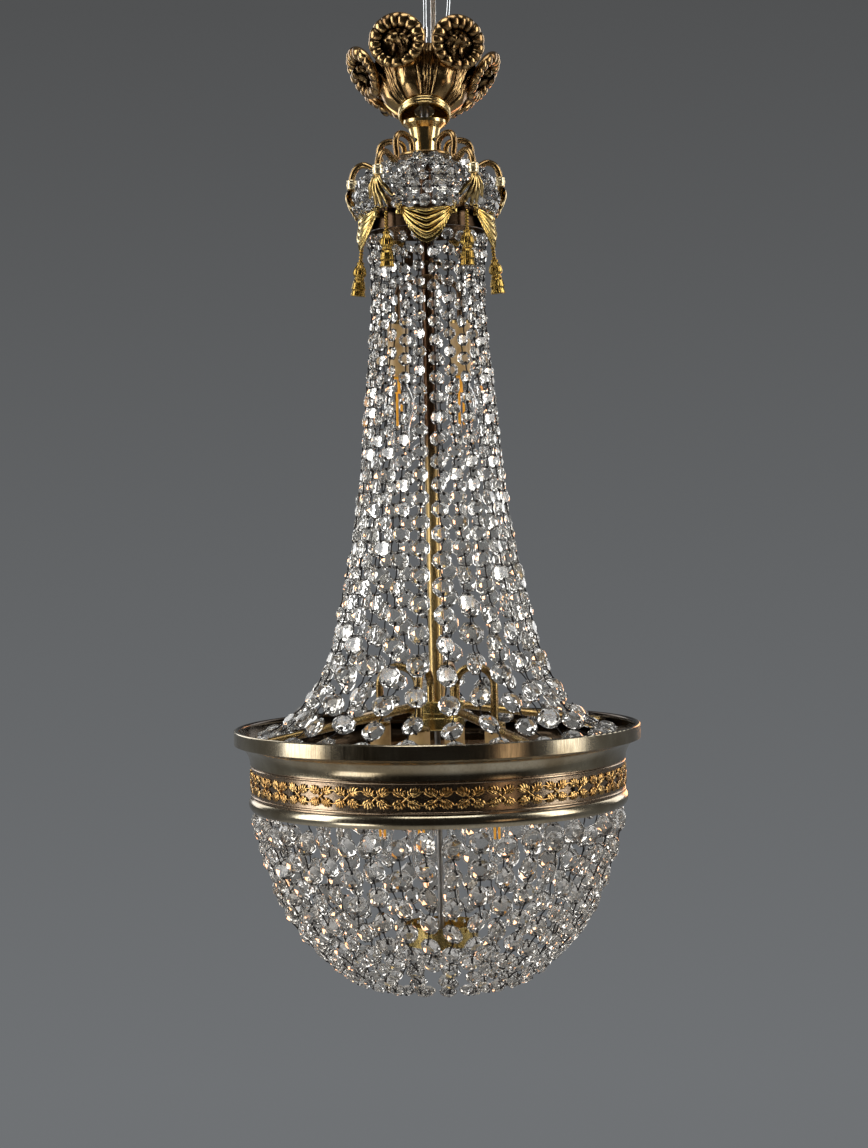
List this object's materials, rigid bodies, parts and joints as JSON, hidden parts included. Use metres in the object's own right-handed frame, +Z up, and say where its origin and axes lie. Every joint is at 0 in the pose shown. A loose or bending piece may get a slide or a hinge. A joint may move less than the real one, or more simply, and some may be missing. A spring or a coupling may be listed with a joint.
{
  "type": "crystal chandelier",
  "caption": "Hanging basket chandelier: a tent of cut-glass strings falls from a beaded crown to a moulded ring above a beaded basket, with candle lamps inside and a loose flower-shaped canopy.",
  "frame": {"origin": "centre of the bore of the hanging eye at the top of the stem", "axes": "+Z up along the stem, -Y the side that the picture shows, +X to its right"},
  "size_m": [0.4059, 0.406, 1.0134],
  "materials": {
    "antique_brass": "aged, polished on the high spots",
    "gilt_brass": "gilt",
    "ring_brass": "dark brushed, worn",
    "canopy_bronze": "dark cast, rubbed",
    "cut_glass": "cut and polished",
    "bulb_glass": "clear",
    "filament": "yellow light sticks",
    "sleeve_plastic": "cream",
    "holder_plastic": "black",
    "terminal_plastic": "white",
    "steel": "bright",
    "dark_steel": "black",
    "plate_paint": "satin",
    "clear_line": "clear"
  },
  "bodies": {
    "chandelier": {"basket_strings": "cut_glass", "bottom_collar": "antique_brass", "bottom_nut": "antique_brass", "bottom_rod": "antique_brass", "bulb_caps": "steel", "bulb_filaments": "filament", "bulb_glasses": "bulb_glass", "candle_sleeves": "sleeve_plastic", "ceiling_plate": "plate_paint", "centre_rod": "steel", "cord_clamp": "antique_brass", "cove_ring": "ring_brass", "cross_bar": "antique_brass", "crown_arm_1": "antique_brass", "crown_arm_2": "antique_brass", "crown_arm_3": "antique_brass", "crown_arm_4": "antique_brass", "crown_arm_5": "antique_brass", "crown_garlands": "cut_glass", "crown_plate": "antique_brass", "crown_ring": "antique_brass", "drapery_swags": "gilt_brass", "flex_cord": "clear_line", "frieze_band": "ring_brass", "frieze_ornament": "gilt_brass", "frieze_screws": "dark_steel", "hanging_eye": "antique_brass", "hub_lower": "antique_brass", "hub_upper": "antique_brass", "lamp_cups": "antique_brass", "lampholders": "holder_plastic", "line_crimp": "steel", "line_noose": "clear_line", "lower_arm_1": "antique_brass", "lower_arm_2": "antique_brass", "lower_arm_3": "antique_brass", "lower_arm_4": "antique_brass", "lower_moulding": "ring_brass", "neck_collar": "antique_brass", "neck_set_screws": "dark_steel", "rim_band": "ring_brass", "ring_spokes": "antique_brass", "stem_tube": "antique_brass", "suspension_line_left": "clear_line", "suspension_line_right": "clear_line", "tassel_brackets": "gilt_brass", "tent_strings": "cut_glass", "terminal_block": "terminal_plastic", "upper_arm_left": "antique_brass", "upper_arm_right": "antique_brass", "upper_lamp_collar": "antique_brass"},
    "canopy": {"canopy_casting": "canopy_bronze", "canopy_collar": "antique_brass"},
    "tassel_1": {"tassel_1": "gilt_brass"},
    "tassel_2": {"tassel_2": "gilt_brass"},
    "tassel_3": {"tassel_3": "gilt_brass"},
    "tassel_4": {"tassel_4": "gilt_brass"},
    "tassel_5": {"tassel_5": "gilt_brass"}
  },
  "joints": [
    {"name": "canopy_tilt", "type": "hinge", "parent": "chandelier", "child": "canopy", "pos_m": [0, 0.021, -0.0487], "axis": [1, 0, 0], "range_deg": [0, 26]},
    {"name": "tassel_1_swing", "type": "hinge", "parent": "chandelier", "child": "tassel_1", "pos_m": [0.03909, -0.0538, -0.144], "axis": [-0.809, -0.5878, 0], "range_deg": [0, 35]},
    {"name": "tassel_2_swing", "type": "hinge", "parent": "chandelier", "child": "tassel_2", "pos_m": [0.06325, 0.02055, -0.144], "axis": [0.309, -0.9511, 0], "range_deg": [0, 30]},
    {"name": "tassel_3_swing", "type": "hinge", "parent": "chandelier", "child": "tassel_3", "pos_m": [0, 0.0665, -0.144], "axis": [1, 0, 0], "range_deg": [0, 35]},
    {"name": "tassel_4_swing", "type": "hinge", "parent": "chandelier", "child": "tassel_4", "pos_m": [-0.06325, 0.02055, -0.144], "axis": [0.309, 0.9511, 0], "range_deg": [0, 30]},
    {"name": "tassel_5_swing", "type": "hinge", "parent": "chandelier", "child": "tassel_5", "pos_m": [-0.03909, -0.0538, -0.144], "axis": [-0.809, 0.5878, 0], "range_deg": [0, 35]}
  ]
}
